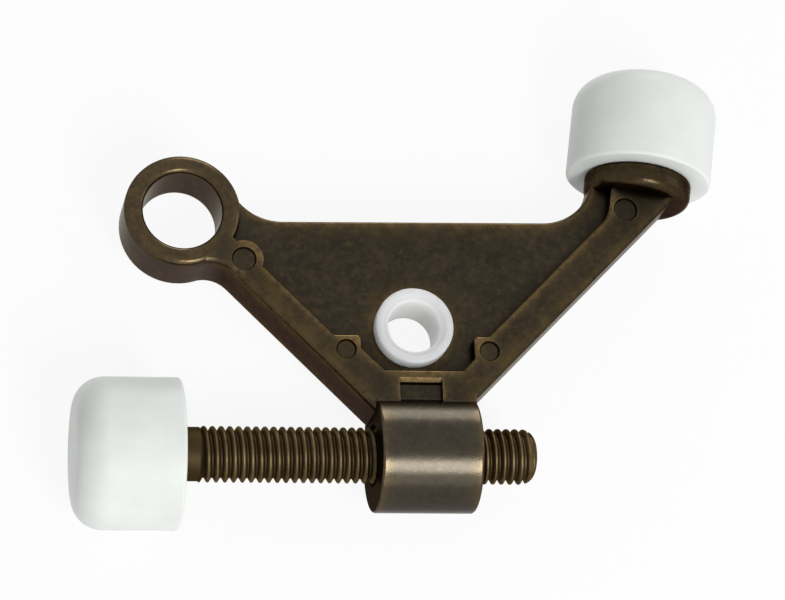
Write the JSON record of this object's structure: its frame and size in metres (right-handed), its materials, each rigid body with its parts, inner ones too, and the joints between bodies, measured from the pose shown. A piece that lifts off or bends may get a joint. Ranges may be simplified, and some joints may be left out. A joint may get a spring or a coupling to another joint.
{
  "type": "hinge pin door stop",
  "caption": "Door stop that hangs on a hinge pin: a cast bracket with a pin eye, a fixed rubber bumper on its arm and a rubber bumper on an adjusting screw.",
  "frame": {"origin": "centre of the hinge pin eye's bore, halfway through its thickness", "axes": "+Z along the hinge pin, upward; +X along the adjusting screw, from its bumper to its free end; +Y from the screw toward the arm's bumper"},
  "size_m": [0.0975, 0.0696, 0.0216],
  "materials": {
    "bronze_casting": "dark antique bronze plating, satin, worn to a warmer brown on the edges",
    "screw_metal": "antique brass plating, bright on the thread crests and dark in the roots",
    "white_rubber": "off-white moulded rubber, satin",
    "white_nylon": "white moulded nylon, satin"
  },
  "bodies": {
    "body": {"cast_body": "bronze_casting", "arm_bumper": "white_rubber", "pin_bushing": "white_nylon"},
    "tip": {"screw_bumper": "white_rubber"},
    "screw": {"adjusting_screw": "screw_metal"}
  },
  "joints": [
    {"name": "screw_advance", "type": "slide", "parent": "body", "child": "tip", "axis": [1, 0, 0], "range_m": [-0.00875, 0.02125]},
    {"name": "screw_turn", "type": "hinge", "parent": "tip", "child": "screw", "pos_m": [0.0343, -0.0351, 0], "axis": [1, 0, 0], "range_deg": [-2521, 6121]}
  ],
  "couplings": [
    {"joint": "screw_turn", "follows": "screw_advance", "rad_per_m": 5026.5}
  ]
}
